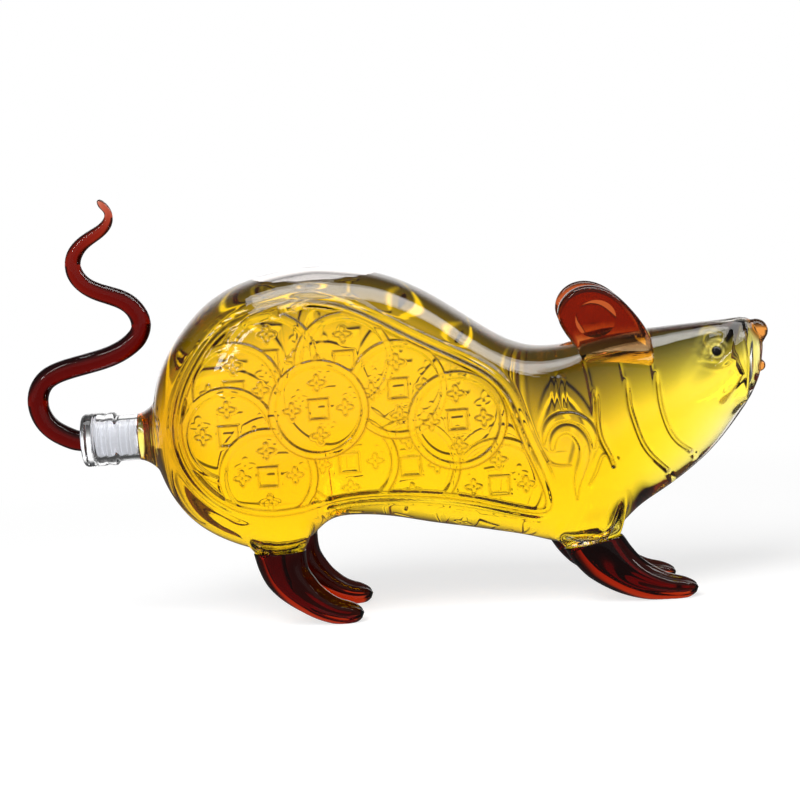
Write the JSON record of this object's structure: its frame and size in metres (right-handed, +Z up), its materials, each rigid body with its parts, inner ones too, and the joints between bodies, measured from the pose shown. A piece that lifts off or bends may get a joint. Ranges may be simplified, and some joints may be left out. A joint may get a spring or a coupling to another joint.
{
  "type": "figural liquor decanter",
  "caption": "Hollow blown-glass decanter shaped as a standing rat, with amber glass feet and ears, and a glass stopper whose handle is the curled tail.",
  "frame": {"origin": "on the surface that the decanter stands on, under the middle of its overall box", "axes": "+X from the tail towards the snout, +Y towards the rat's left, +Z up"},
  "size_m": [0.3194, 0.0802, 0.1854],
  "materials": {
    "clear_glass": "fire polished, with moulded relief",
    "amber_glass": "fire polished, worked on hot",
    "black_glass": "polished bead",
    "seal_rubber": "translucent, satin",
    "liquor": "clear yellow liquid"
  },
  "bodies": {
    "decanter": {"body_shell": "clear_glass", "right_hind_foot": "amber_glass", "left_hind_foot": "amber_glass", "right_front_foot": "amber_glass", "left_front_foot": "amber_glass", "right_ear": "amber_glass", "left_ear": "amber_glass", "right_eye": "black_glass", "left_eye": "black_glass"},
    "seal": {"stopper_sleeve": "seal_rubber"},
    "stopper": {"stopper_plug": "clear_glass", "tail": "amber_glass"}
  },
  "joints": [
    {"name": "stopper_pull", "type": "slide", "parent": "decanter", "child": "seal", "axis": [-1, 0, 0], "range_m": [0, 0.045]},
    {"name": "stopper_twist", "type": "hinge", "parent": "seal", "child": "stopper", "pos_m": [-0.1351, 0, 0.0828], "axis": [-1, 0, 0], "range_deg": [-135, 135]}
  ]
}
